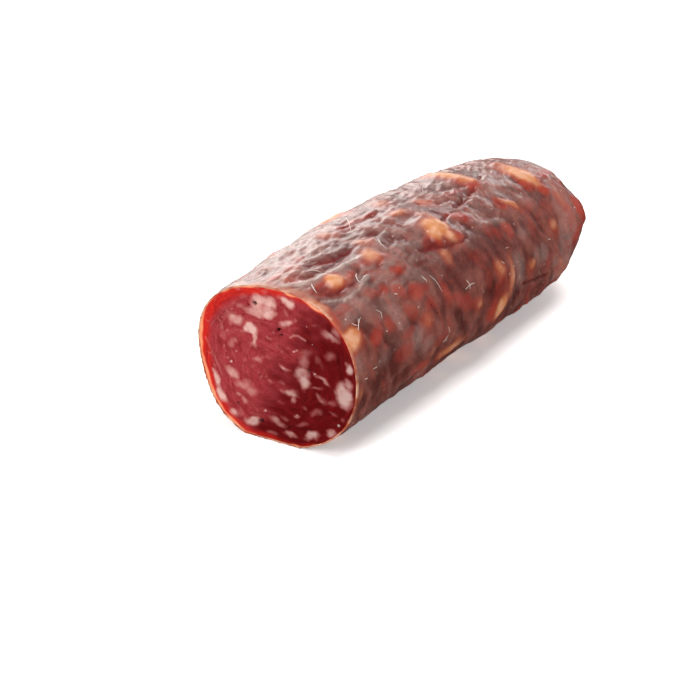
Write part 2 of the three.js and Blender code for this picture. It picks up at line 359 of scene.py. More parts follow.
def add_node(tree, kind, joins=None, **settings):
    """Adds one node with its settings. joins gives inputs a socket to join or a value.

    A colour Mix takes its share at 0, its two colours at 6 and 7, and gives the result at 2.
    """
    made = tree.nodes.new(kind)
    for name, value in settings.items():
        setattr(made, name, value)
    for socket, value in (joins or {}).items():
        if isinstance(value, bpy.types.NodeSocket):
            tree.links.new(value, made.inputs[socket])
        else:
            made.inputs[socket].default_value = value
    return made


def blobs_per_metre(size):
    """A noise texture's scale for blobs of this size in mm."""
    return 1 / (size * MM)


def cut_cured_meat():
    """Fresh-cut cured pork: moist, soft and a little see-through, so light spreads in it."""
    material = bpy.data.materials.new("cut cured meat")
    material.use_nodes = True
    tree = material.node_tree
    shader = tree.nodes["Principled BSDF"]
    place = add_node(tree, "ShaderNodeTexCoord").outputs["Object"]
    has = {
        name: add_node(tree, "ShaderNodeAttribute", attribute_name=name).outputs["Fac"]
        for name in ("fat", "streak", "shaded_holes", "glint_specks", "dried_and_lit_rim", "edge", "deep_lean_and_shade")
    }
    # Muscle fibres are about 0.1 mm, drawn at 0.5 mm so that they show.
    fibre = add_node(
        tree, "ShaderNodeTexNoise", {"Vector": place, "Scale": blobs_per_metre(0.5), "Detail": 4.0},
    ).outputs["Fac"]
    mottle = add_node(
        tree, "ShaderNodeTexNoise", {"Vector": place, "Scale": blobs_per_metre(2.4), "Detail": 3.0},
    ).outputs["Fac"]
    # Fat edges break up along the fibres.
    torn = add_node(tree, "ShaderNodeMath", {0: fibre, 1: -0.5}, operation="ADD").outputs[0]
    torn = add_node(
        tree, "ShaderNodeMath", {0: torn, 1: 0.18, 2: has["fat"]}, operation="MULTIPLY_ADD",
    ).outputs[0]
    # How much there is of each, between two levels of what it follows.
    share = {
        name: add_node(
            tree, "ShaderNodeMapRange",
            {"Value": follows, "From Min": low, "From Max": high, "To Min": at_low, "To Max": at_high},
        ).outputs[0]
        for name, follows, low, high, at_low, at_high in [
            ("pale streaks", has["streak"], 0.1, 0.9, 0.0, 0.5),
            ("dark mottle", mottle, 0.5, 0.7, 0.0, 0.45),
            ("dark fibres", fibre, 0.35, 0.65, 0.35, 0.0),
            ("gristle", has["streak"], -0.15, -0.8, 0.0, 0.6),
            ("fat", torn, 0.1, 1.0, 0.0, 1.0),
            ("roughness", mottle, 0.3, 0.7, 0.28, 0.42),
        ]
    }
    # Tones that run from one colour to another. The lean, its pale streaks, its gristle and the white
    # fat are paler towards the upper left, which is painted reflection, and darker and duller towards
    # the lower right, which is painted shade.
    tone = {
        name: add_node(
            tree, "ShaderNodeMix", {0: follows, 6: linear(start), 7: linear(end)}, data_type="RGBA",
        ).outputs[2]
        for name, follows, start, end in [
            ("lean", has["deep_lean_and_shade"], "#943036", "#540002"),
            ("pale streaks", has["deep_lean_and_shade"], "#aa4e4c", "#740a0d"),
            ("gristle", has["deep_lean_and_shade"], "#6e0a10", "#3a0001"),
            # The rim's bright red is partly the dried meat's own, partly painted glow.
            ("dried_and_lit_rim", fibre, "#940a0c", "#cc281a"),
            ("white fat", has["deep_lean_and_shade"], "#c39a92", "#a98a83"),
            ("waxy edge", mottle, "#d85a2c", "#f4b088"),
        ]
    }
    # Thin fat lets the red under it show through.
    fat_colour = add_node(
        tree, "ShaderNodeMix", {0: share["fat"], 6: linear("#ac5250"), 7: tone["white fat"]},
        data_type="RGBA",
    ).outputs[2]
    # Each of these lies over the ones before it.
    colour = tone["lean"]
    for amount, over in [
        (share["pale streaks"], tone["pale streaks"]),
        (share["dark mottle"], linear("#6a0508")),
        (share["dark fibres"], linear("#5a0a10")),
        (has["dried_and_lit_rim"], tone["dried_and_lit_rim"]),
        (share["gristle"], tone["gristle"]),
        (share["fat"], fat_colour),
        (has["edge"], tone["waxy edge"]),
        # Painted glints, then painted shade in the air holes.
        (has["glint_specks"], linear("#e0c4bc")),
        (has["shaded_holes"], linear("#240305")),
    ]:
        colour = add_node(
            tree, "ShaderNodeMix", {0: amount, 6: colour, 7: over}, data_type="RGBA",
        ).outputs[2]
    tree.links.new(colour, shader.inputs["Base Color"])
    tree.links.new(share["roughness"], shader.inputs["Roughness"])
    height = add_node(
        tree, "ShaderNodeMath", {0: has["streak"], 1: 0.5, 2: fibre}, operation="MULTIPLY_ADD",
    ).outputs[0]
    bump = add_node(
        tree, "ShaderNodeBump", {"Height": height, "Strength": 0.35, "Distance": 0.15 * MM},
    ).outputs["Normal"]
    tree.links.new(bump, shader.inputs["Normal"])
    shader.inputs["IOR"].default_value = 1.42
    shader.inputs["Specular IOR Level"].default_value = 0.1
    shader.inputs["Subsurface Weight"].default_value = 0.2
    shader.inputs["Subsurface Radius"].default_value = (1.0, 0.25, 0.15)
    shader.inputs["Subsurface Scale"].default_value = 0.5 * MM
    return material


filling.data.materials.append(cut_cured_meat())
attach(filling, "root")
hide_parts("filling")

# ------------------------------------------------------------------------------------------
# Gut casing
# One length of natural gut, dried down hard onto the meat: a thin brown-mauve skin that shows
# amber fat and red lean under it. It shrank as it dried, so it lies in fine wrinkles, and the
# far end is gathered into a stub.
# ------------------------------------------------------------------------------------------
# Fat under the skin: along, turn, half length, half width round the skin, tilt, strength. The
# lean, the darkest meat and the grey patches are listed in the same way.
SKIN_FAT = [
    (12.4, 67, 2.4, 1.6, 0, 1.0), (16.4, 64, 1.8, 0.9, 0, 0.35), (30.6, 68.5, 2.8, 2.4, -10, 0.7),
    (35.4, 80, 2.4, 1.9, 20, 0.55), (58.6, 60.5, 4.4, 3.3, 0, 1.0), (59.8, 53, 1.8, 2.8, 0, 0.8),
    (55.0, 58, 1.6, 2.4, 0, 0.75), (62.0, 72, 2.0, 2.6, 30, 0.35), (58.4, 85, 2.4, 0.8, 0, 0.6),
    (53.4, 43, 1.6, 2.2, -25, 0.5), (72.0, 86, 1.8, 3.0, 20, 0.4), (95.6, 100, 3.6, 6.6, 0, 0.95),
    (94.6, 84, 2.6, 3.0, 20, 0.7), (115.6, 68, 3.3, 6.2, 0, 1.0), (117.6, 86, 1.6, 3.0, 0, 0.5),
    (121.6, 40, 1.0, 3.0, 0, 0.4), (97.0, 51, 0.8, 2.5, 42, 0.75), (75.4, -12, 3.0, 3.8, 0, 0.8),
    (74.6, 16, 2.0, 2.6, 0, 0.5), (80.6, 6, 1.3, 4.4, -12, 0.6), (2.4, 32, 3.5, 3.1, 0, 0.95),
    (1.6, -7, 0.9, 2.4, 0, 0.35), (51.0, -23, 6.0, 2.2, 0, 0.6), (112.3, 22.5, 2.0, 1.4, 0, 0.55),
    (95.6, 3.5, 2.6, 1.4, -10, 0.55), (62.6, 1.5, 1.6, 1.6, 0, 0.55), (35.6, 107, 1.5, 2.4, 0, 0.4),
    (64.0, 106, 2.6, 1.8, 0, 0.45), (35.0, 14, 2.6, 1.8, -15, 0.3), (38.0, -12, 2.0, 1.6, 0, 0.25),
    (1.2, 78, 1.4, 5.0, 0, 0.4), (1.0, 100, 1.2, 3.0, 0, 0.35), (0.8, 61, 1.3, 4.0, 0, 0.6),
    (117.0, -13, 4.5, 0.9, -45, 0.4),
]
SKIN_RED = [
    (7.6, 68.5, 3.0, 1.9, 0, 1.0), (17.4, 64, 2.6, 1.3, 0, 1.0), (12.4, 66, 3.4, 2.1, 0, 1.0),
    (14.0, 61, 3.4, 0.8, 0, 0.6), (26.4, 67, 2.6, 1.4, 0, 0.6), (31.6, 62.5, 2.2, 0.9, 0, 0.7),
    (33.4, 51, 1.8, 0.9, -15, 1.0), (23.4, 45, 1.2, 1.4, -50, 0.8), (27.6, 39, 3.4, 1.6, -35, 0.65),
    (34.6, 33.5, 3.6, 1.6, -8, 0.75), (12.0, 23, 2.2, 2.0, 20, 0.75), (14.2, 27, 1.0, 1.8, 0, 0.6),
    (18.2, 26, 1.6, 2.0, 0, 0.65), (28.4, 24, 1.6, 2.4, 30, 0.5), (37.0, 22, 1.8, 1.6, 0, 0.5),
    (46.4, 20, 1.4, 3.2, 10, 0.65), (26.0, 13, 2.6, 1.6, 0, 0.5), (34.6, 15, 3.0, 1.6, -15, 0.5),
    (22.0, 3, 3.4, 2.4, 0, 0.5), (42.0, -5, 3.6, 2.0, 15, 0.45), (34.4, -20, 3.2, 1.4, 0, 0.7),
    (1.0, 48, 1.2, 3.0, 0, 0.8), (6.0, 49, 2.0, 1.4, 0, 0.5), (19.0, 48, 2.4, 0.9, -10, 0.5),
    (55.0, 9, 5.6, 1.8, -31, 0.6), (52.4, 52, 2.8, 2.1, -20, 1.0), (62.4, 47.5, 1.8, 1.2, 0, 0.8),
    (72.0, 58.5, 3.4, 1.4, -25, 0.85), (72.2, 84, 2.2, 3.4, 20, 0.45), (84.6, 81, 2.4, 1.3, -10, 0.55),
    (93.0, 77, 2.8, 1.0, 20, 0.95), (93.0, 54, 1.8, 2.2, 20, 1.0), (87.4, 35, 2.4, 2.4, -40, 0.6),
    (79.6, 40, 3.6, 1.6, -30, 0.4), (75.0, 4.5, 3.0, 1.8, 0, 0.8), (70.8, -11, 1.5, 3.6, 0, 0.9),
    (112.0, 57, 2.4, 1.6, -30, 0.85), (116.4, 48, 2.4, 2.0, -40, 0.9), (120.6, 34, 1.4, 4.4, 10, 0.65),
    (122.4, 18, 1.2, 3.6, 0, 0.6), (127.6, 59, 5.6, 1.3, 0, 0.9), (128.4, 26, 2.2, 3.0, 0, 1.0),
    (131.0, 18, 3.6, 4.0, 0, 0.9), (114.6, -14, 2.6, 2.0, -40, 0.6), (108.0, -2, 2.4, 1.6, 0, 0.4),
    (96.0, -19, 4.0, 2.0, 0, 0.4), (45.0, 103.5, 4.0, 1.0, 15, 0.9), (40.0, 102, 3.0, 0.9, 25, 0.7),
    (51.0, 99.5, 5.0, 1.4, 0, 0.7), (5.2, 99, 1.6, 0.8, 0, 0.7), (18.0, 101, 1.4, 0.8, 0, 0.7),
    (57.0, 89, 2.4, 1.0, 0, 0.6), (6.0, 87, 2.4, 2.2, 0, 0.6), (11.0, 96, 3.4, 1.9, 0, 0.4),
    (118.0, 22, 5.0, 5.0, 0, 0.2), (121.0, -8, 5.0, 5.0, 0, 0.3), (125.0, 44, 4.0, 3.0, 0, 0.3),
    (124.0, -30, 6.0, 5.0, 0, 0.3), (103.0, 44, 3.0, 1.6, 0, 0.3), (100.0, 28, 1.6, 2.4, 0, 0.35),
    (112.0, 36, 3.0, 2.0, 0, 0.3), (66.0, 30, 4.0, 1.4, -20, 0.25), (68.0, 14, 2.0, 2.4, 0, 0.3),
    (126.0, 6, 3.0, 2.0, 30, 0.8), (122.0, 30, 1.8, 3.4, 0, 0.6), (118.0, -20, 3.0, 2.0, -30, 0.6),
    (130.0, 44, 3.4, 1.4, 20, 0.7),
]
SKIN_DARK = [
    (6.8, 68, 2.2, 1.4, 0, 0.75), (18.0, 87.5, 4.4, 1.6, -8, 0.85), (24.0, 80.5, 7.0, 2.0, 6, 0.95),
    (29.0, 81, 4.0, 1.4, 10, 0.6), (42.0, 83, 2.2, 2.3, 0, 0.85), (41.4, 70, 3.4, 2.2, 0, 0.75),
    (50.0, 77, 1.3, 4.6, 10, 0.5), (56.4, 76.5, 3.4, 1.9, 0, 0.75), (51.6, 51.5, 2.6, 1.6, -25, 0.85),
    (57.4, 46.5, 1.5, 1.4, 0, 0.5), (48.0, 98, 4.6, 1.0, 0, 0.7), (41.0, 101, 2.5, 0.8, 20, 0.5),
    (93.0, 54.5, 1.2, 1.5, 0, 0.5), (75.0, 4, 2.4, 1.4, 0, 0.6), (66.0, 0, 3.4, 4.0, 0, 0.35),
    (24.0, -16, 5.0, 2.4, 0, 0.7), (8.0, 61, 3.0, 0.9, -25, 0.5), (103.0, 84, 4.0, 1.2, 30, 0.7),
    (50.0, 50, 4.0, 0.8, -15, 0.6), (88.0, 24, 2.6, 2.6, 0, 0.3), (101.0, 20, 3.0, 4.0, 0, 0.3),
    (12.0, 40, 3.0, 2.0, 0, 0.3), (47.0, 34, 3.0, 3.0, 0, 0.3), (60.0, 34, 4.0, 3.0, -20, 0.3),
    (92.0, -14, 5.0, 1.4, -20, 0.4), (104.0, -24, 5.0, 3.0, 0, 0.5),
]
# Creases where the skin is drawn in: points along and round, depth, half width. Each is also
# painted dark along its line, which is painted shade.
CREASES = [
    ([(64, 61.5), (68, 63.5), (72, 65)], 0.8, 0.5),
    ([(76.5, 67.8), (79.5, 69), (83.5, 69.4)], 1.2, 0.55),
    ([(86.5, 70.4), (89, 72), (92, 73.4)], 1.2, 0.55),
    ([(97.5, 78.5), (100, 81.5), (103, 83.5)], 0.7, 0.6),
    ([(46, 53.5), (50, 50.5), (55, 46.5), (62, 43.8), (66, 44.6)], 0.7, 0.6),
    ([(89, -5.5), (94, -8.5), (100, -12), (107, -14)], 1.0, 0.5),
    ([(6, 63), (9, 60), (15, 58.5), (19, 60)], 0.3, 0.6),
    ([(38, 106), (45, 101.5), (52, 98), (57, 97)], 0.4, 0.6),
    ([(14, 90), (20, 84), (28, 80), (33, 80)], 0.35, 0.9),
]
# Folds of loose skin that stand up: points along and round, height, half width, and the
# paleness of the highlight painted along the fold.
FOLDS = [
    ([(3, 61), (6, 56.5), (10, 53.5), (15, 53.5), (19, 55.5), (22, 57)], 0.5, 0.5, 0.55),
    ([(2, 88), (5, 80), (10, 76), (18, 73), (27, 70.5)], 0.8, 1.0, 0.7),
    ([(21, 57.5), (28, 55.5), (35, 57), (41, 60), (47, 58)], 0.45, 0.9, 0.25),
    ([(36.6, 66), (37.2, 72), (38, 77), (45, 76.5)], 0.4, 0.8, 0.3),
    ([(64, 59), (72, 63), (80, 64.5), (84, 64)], 0.4, 0.9, 0.12),
    ([(84, 65), (90, 67.5), (97, 73), (104, 79.5)], 0.5, 1.3, 0.15),
    ([(60, 42.5), (66, 43.5), (73, 46.5), (80, 47), (88, 42)], 0.35, 0.9, 0.2),
    ([(98, 84), (104, 89), (111, 94)], 0.45, 0.9, 0.2),
    ([(100, 66), (105, 69), (110, 70)], 0.3, 0.8, 0.3),
    ([(121, 50), (127, 54), (133, 50)], 0.3, 0.8, 0.3),
    ([(84, 26), (88, 12), (90, -2)], 0.3, 2.0, 0.0),
    ([(64, 40), (68, 26), (70, 8)], 0.3, 2.2, 0.0),
    ([(108, 38), (112, 14), (116, -6)], 0.3, 2.2, 0.0),
    ([(14, 34), (16, 24), (20, 10)], 0.25, 1.8, 0.05),
    ([(116, 2), (120, -10), (125, -20)], 0.3, 1.0, 0.25),
]
# Where the gut has come away from the meat and looks grey.
SKIN_HAZE = [
    (22.0, 29, 1.6, 6.0, 29, 0.5), (38.0, 41, 4.0, 2.6, 0, 0.4), (30.0, 6, 3.0, 3.6, 0, 0.45),
    (34.0, -3, 4.0, 2.4, 0, 0.3), (56.0, 77, 3.0, 2.4, 0, 0.5), (86.4, 8, 3.4, 5.4, 15, 0.45),
    (102.0, 6, 4.4, 3.4, 0, 0.4), (94.0, 29, 2.4, 2.0, 0, 0.35), (104.0, 68, 5.0, 3.0, 0, 0.5),
    (97.0, 64, 5.0, 2.4, 0, 0.5), (104.0, 50, 4.0, 2.0, 0, 0.3), (121.6, 47, 2.0, 2.4, 0, 0.5),
    (80.0, 56, 3.0, 3.0, 0, 0.4), (84.0, 62, 3.4, 2.0, 0, 0.3), (46.0, 60, 6.0, 2.2, 0, 0.4),
    (7.0, 56, 5.0, 1.6, 0, 0.4), (13.0, 8, 3.0, 2.0, 0, 0.25), (116.0, 4, 3.0, 3.6, 0, 0.35),
    (68.0, 44, 8.0, 1.4, 0, 0.25), (112.0, -6, 3.0, 1.6, -30, 0.5), (2.0, 16, 2.0, 3.0, 0, 0.3),
    (119.0, -16, 6.0, 6.0, 0, 0.5), (119.0, 10, 6.0, 6.0, 0, 0.4), (121.0, 32, 5.0, 6.0, 0, 0.4),
    (130.0, 68, 5.0, 5.0, 0, 0.5), (88.0, 98, 5.0, 3.0, 0, 0.6),
]
# The gathered stub of gut on the crown: along and radius.
KNOT = [
    (143.9, 4.0), (144.0, 3.5), (144.5, 2.9), (145.1, 2.7), (145.7, 2.9), (146.2, 2.7), (146.45, 1.9),
    (146.3, 0.9), (146.1, 0.02),
]
SKIN_COLUMNS = 288
SKIN_RINGS = 322
LINING_STEP = 4           # the hidden inner side has a quarter of the columns
LINING_RINGS = 40
LINING_DEEP = 1.1         # it runs this deep, so that only the deepest creases reach it
LOW_RIDGE = 0.16          # wrinkles on the flanks, before they rise into ridges
PLEATS = 13               # gathers round the closed end
UNLISTED_ALONG = (5, 136)  # where the sides lie that no list describes
UNLISTED_TURN = (128, 322)

turn = np.linspace(0, 2 * np.pi, SKIN_COLUMNS, endpoint=False)
ring_along, ring_radius = meridian(KNOT, SKIN_RINGS)
plain = body_points(ring_along[:, None], ring_radius[:, None], turn, 0.0)
along = np.broadcast_to(ring_along[:, None], plain.shape[:2])
radius = np.broadcast_to(ring_radius[:, None], plain.shape[:2])
turns = np.broadcast_to(turn, plain.shape[:2])

# The pieces were pulled about as the gut was stuffed, so none is a plain oval.
pulled_along = 0.9 * grain(plain, 5.0, 41) + 0.25 * grain(plain, 2.2, 42)
pulled_round = 0.9 * grain(plain, 5.0, 43) + 0.25 * grain(plain, 2.2, 44)


def skin_blot(piece, wobble, softness):
    """One piece under the skin. Its turn becomes a distance round the skin."""
    centre_along, centre_turn, half_along, half_round, tilt, strength = piece
    around = round_the_axis(turns, centre_turn) * np.maximum(radius, 6.0)
    flat = (centre_along, 0.0, half_along, half_round, tilt, strength)
    return blot(along + pulled_along, around + pulled_round, flat, wobble, softness)


def skin_line(line):
    """Distance over the skin to a line given by along and turn."""
    middle = sum(p[1] for p in line) / len(line)
    around = round_the_axis(turns, middle) * radius
    scale = math.radians(1) * CALIBRE / 2
    flat = [(place, (turned - middle) * scale) for place, turned in line]
    return line_distance(along + 0.3 * pulled_along, around + 0.3 * pulled_round, flat)


def more_pieces(draw, count, sizes, strengths):
    """Pieces for the sides that no list describes, of the same make as the listed ones."""
    return [
        (draw.uniform(*UNLISTED_ALONG), draw.uniform(*UNLISTED_TURN), draw.uniform(*sizes),
         draw.uniform(*sizes) * 0.7, draw.uniform(-60, 60), draw.uniform(*strengths))
        for _ in range(count)
    ]


draw = np.random.default_rng(7)
hidden_fat = more_pieces(draw, 26, (1.6, 5.0), (0.4, 1.0))
hidden_red = more_pieces(draw, 44, (1.4, 4.5), (0.4, 0.9))
hidden_dark = more_pieces(draw, 16, (2.0, 6.0), (0.4, 0.9))
hidden_haze = more_pieces(draw, 24, (2.5, 7.0), (0.25, 0.5))

wobble = 0.8 * grain(plain, 3.4, 21) + 0.2 * grain(plain, 1.4, 22)
fat = np.zeros(plain.shape[:2])
core = np.zeros(plain.shape[:2])
bulge = np.zeros(plain.shape[:2])
stain = np.zeros(plain.shape[:2])
for piece in SKIN_FAT + hidden_fat:
    size = min(piece[2], piece[3])
    shape = skin_blot(piece[:5] + (1.0,), 0.5 + 0.7 * wobble, 1.0 + 0.45 * size)
    fat = np.maximum(fat, piece[5] * shape)
    core = np.maximum(core, shape * (0.35 + 0.65 * piece[5]))
    bulge = np.maximum(bulge, skin_blot(piece, 0.5 * wobble, size))
    # Fat melts out of each piece as it dries, and stains the lean below it orange red.
    low = (piece[0] - 0.6, piece[1] - 3.5, piece[2] + 0.7, piece[3] + 0.9, piece[4], piece[5])
    stain = np.maximum(stain, skin_blot(low, 1.6 * wobble, 1.8))
stain *= ramp(grain(plain, 6.0, 46), -0.6, 0.2)
red = np.zeros(plain.shape[:2])
for piece in SKIN_RED + hidden_red:
    red = np.maximum(red, skin_blot(piece, 0.4 + 1.1 * wobble, 1.05))
dark = np.zeros(plain.shape[:2])
for piece in SKIN_DARK + hidden_dark:
    dark = np.maximum(dark, skin_blot(piece, 0.2 + wobble, 1.1))
haze = np.zeros(plain.shape[:2])
for piece in SKIN_HAZE + hidden_haze:
    haze = np.maximum(haze, skin_blot(piece, 1.2 * wobble, 2.0))

# On top the wrinkles run along the sausage, and climb over it towards the far end. On its
# flanks they lean away from the cut as they go down.
on_top = ramp(np.sin(turns), 0.35, 0.85) * ramp(-along, -138, -118)
from_top = np.abs(round_the_axis(turns, 90))
warp = 2.2 * grain(plain, (9.0, 14.0, 9.0), 23)
twisted = turns - 0.006 * along - 0.014 * np.maximum(along - 80, 0)
drawn = np.stack([24 * np.cos(twisted) + warp, along, 22 * np.sin(twisted) + warp], axis=-1)
long_wrinkle = 1 - np.abs(2 * grain(drawn, (2.4, 12.0, 2.4), 24))
fine_wrinkle = 1 - np.abs(2 * grain(drawn, (1.2, 5.0, 1.2), 25))
leaning = np.stack([13 * np.cos(turns), along - 10 * from_top, 13 * np.sin(turns)], axis=-1)
leaning[..., 1] += 2.5 * grain(plain, 8.0, 26)
round_wrinkle = 1 - np.abs(2 * grain(leaning, (7.0, 3.4, 7.0), 27))
blotch = grain(plain, 8.0, 28) + 0.5 * grain(plain, 4.0, 29)
crepe = 1 - np.abs(2 * grain(drawn + 3.0 * blotch[..., None], (1.7, 4.5, 1.7), 33))
# The mince lies in strands that were pulled round the gut as it was filled.
strand = grain(leaning, (5.0, 3.0, 5.0), 34) + 0.5 * grain(leaning, (2.6, 1.6, 2.6), 35)
pucker = ramp(-radius, -17.0, -4.0)
pleats = np.cos(PLEATS * turns + 2.4 * grain(plain, 6.0, 30)) * pucker * ramp(radius, 0.6, 3.0)

# Lumps of mince a few millimetres across swell the skin between its hollows.
plump = grain(plain, (4.2, 6.0, 4.2), 47)
tight = 1 - 0.7 * fat
relief = 0.45 * blotch + 0.65 * bulge + 0.3 * red - 0.5 * dark + 0.35 * plump
relief += on_top * tight * (0.2 * long_wrinkle + 0.12 * crepe + 0.22 * fine_wrinkle - 0.27)
# Those on the flanks stand up as ridges towards the closed end.
ridges = LOW_RIDGE + 0.22 * ramp(along, 84, 106) * ramp(np.cos(turns), -0.2, 0.5)
relief += (1 - on_top) * tight * (ridges * round_wrinkle - 0.4 * ridges)
relief += 0.1 * strand
relief += 0.5 * pleats
# Neither creases nor folds run evenly: they fade out and come back.
broken = 0.35 + 0.65 * ramp(grain(plain, 4.0, 45), -0.5, 0.3)
crease_shade = np.zeros(plain.shape[:2])
for line, depth, half_width in CREASES:
    cut = (0.5 + 0.5 * broken) * np.exp(-((skin_line(line) + 0.4 * wobble) / half_width) ** 2)
    relief -= depth * cut
    crease_shade = np.maximum(crease_shade, cut)
# Along each fold a pale line is painted over the relief: a painted highlight.
fold_highlight = np.zeros(plain.shape[:2])
for line, height, half_width, highlight_paleness in FOLDS:
    lift = broken * np.exp(-((skin_line(line) + 0.4 * wobble) / half_width) ** 2)
    relief += height * lift
    fold_highlight = np.maximum(fold_highlight, highlight_paleness * lift)
# The skin lies tight at the knife's cut, and the belly was pressed flat as it dried.
relief *= ramp(along, 0.0, 6.0)
relief *= 1 - 0.8 * ramp(-plain[..., 2], -2.5, -0.3)

along_step = np.gradient(plain, axis=0)
round_step = np.roll(plain, -1, axis=1) - np.roll(plain, 1, axis=1)
outward = np.cross(along_step, round_step)
outward *= 1 / np.maximum(np.linalg.norm(outward, axis=-1, keepdims=True), 1e-9)
outward[-1] = (0, 1, 0)   # the last ring, at the tip, is too small to tell it by
skin_points = plain + outward * relief[..., None]
skin_points[..., 2] = np.maximum(skin_points[..., 2], 0.0)
# The cut edge stands a little proud of the meat and is ragged.
ragged = np.abs(grain(plain[:3], (1.4, 1.0, 1.4), 31))
skin_points[0, :, 1] -= 0.1 + 0.6 * ragged[0]

lining_turn = turn[::LINING_STEP]
lining_along, lining_radius = meridian(CROWN, LINING_RINGS)
lining_inset = CASING_WALL + (LINING_DEEP - CASING_WALL) * ramp(lining_along, 0, 6)
lining_points = body_points(
    np.minimum(lining_along[:, None], BODY_LENGTH - LINING_DEEP), lining_radius[:, None], lining_turn,
    lining_inset[:, None],
)
lining_columns = len(lining_turn)
points = np.concatenate([skin_points.reshape(-1, 3), lining_points.reshape(-1, 3)])
faces = []
for ring in range(SKIN_RINGS - 1):
    faces += ring_faces(ring * SKIN_COLUMNS, (ring + 1) * SKIN_COLUMNS, SKIN_COLUMNS)
faces.append([(SKIN_RINGS - 1) * SKIN_COLUMNS + i for i in reversed(range(SKIN_COLUMNS))])
lining_first = SKIN_RINGS * SKIN_COLUMNS
for ring in range(LINING_RINGS - 1):
    start = lining_first + ring * lining_columns
    faces += ring_faces(start, start + lining_columns, lining_columns, flip=True)
faces.append([lining_first + (LINING_RINGS - 1) * lining_columns + i for i in range(lining_columns)])
for i in range(lining_columns):
    outer = [(i * LINING_STEP + k) % SKIN_COLUMNS for k in range(LINING_STEP + 1)]
    inner = [lining_first + (i + 1) % lining_columns, lining_first + i]
    faces.append(outer + inner)

# Its atlas holds the outer skin, and the lining in a strip above it.
SKIN_HEIGHT = 0.9
LINING_FOOT = 0.91
LINING_HEIGHT = 0.08
skin_share = np.linspace(0, 1, SKIN_RINGS)[:, None]
skin_atlas = np.stack(np.broadcast_arrays(turn / (2 * np.pi), SKIN_HEIGHT * skin_share), axis=-1)
lining_share = np.linspace(0, 1, LINING_RINGS)[:, None]
lining_atlas = np.stack(np.broadcast_arrays(
    lining_turn / (2 * np.pi), LINING_FOOT + LINING_HEIGHT * lining_share), axis=-1)
atlas = np.concatenate([skin_atlas.reshape(-1, 2), lining_atlas.reshape(-1, 2)])

casing = lay_mesh("gut_casing", points, faces, atlas)
behind = np.zeros(lining_points.shape[0] * lining_columns)
edge = ramp(-along, -0.9, -0.1) * (0.5 + 0.5 * ramp(grain(plain, 3.0, 32), -0.4, 0.5))
# On top, most near the cut, the skin is painted pale over its wrinkles: partly a real dry film, partly
# painted sheen of the light raking over it from behind.
near_cut = ramp(-along, -75, -25)
cover = 0.5 * long_wrinkle + 0.4 * crepe + 0.5 * blotch + 0.3 * plump
film_and_sheen = on_top * (0.06 + 0.16 * near_cut) * ramp(cover, -0.1, 0.7)
# On top, most near the cut, the hollows between the wrinkles are painted dark red: partly the
# meat's red showing where the film lies on it, partly painted shade in the hollows.
groove_shade = on_top * (0.3 + 0.4 * near_cut) * ramp(-long_wrinkle - 0.3 * crepe, -0.35, 0.3) * (1 - fat)
film_and_sheen = film_and_sheen * (1 - 0.7 * fat) * (1 - 0.9 * red) * (1 - 0.95 * dark)
film_and_sheen = np.maximum(film_and_sheen, 0.4 * haze * (1 - 0.6 * fat) * (1 - 0.6 * red ** 2))
film_and_sheen = np.maximum(film_and_sheen, fold_highlight) * (1 - crease_shade)
# Towards the closed end the skin is painted lighter and redder: painted light, the warm glow
# that end takes on.
far_end_glow = ramp(along, 104, 128)
tone = 0.6 * strand + 0.6 * blotch + 0.35 * far_end_glow
# On the ridged flanks the tone is lighter on each ridge and darker between them: painted light and shade
# of the ridges.
tone = ramp(tone + 1.5 * (ridges - LOW_RIDGE) * (round_wrinkle - 0.5), -0.5, 0.55)
flush = grain(leaning, (5.0, 2.4, 5.0), 36) + 0.5 * grain(plain, 1.5, 37) + 0.1 * far_end_glow
flush = ramp(flush, 0.15, 0.75)
for name, values in [("fat", fat), ("core", core), ("red", red), ("dark", dark), ("crease_shade", crease_shade),
                     ("film_and_sheen", film_and_sheen), ("tone", tone), ("flush", flush), ("stain", stain),
                     ("groove_shade", groove_shade)]:
    paint(casing, name, np.concatenate([values.ravel(), behind]))
cut_ring = np.where(np.arange(len(behind)) < lining_columns, 1.0, 0.0)
paint(casing, "edge", np.concatenate([edge.ravel(), cut_ring]))


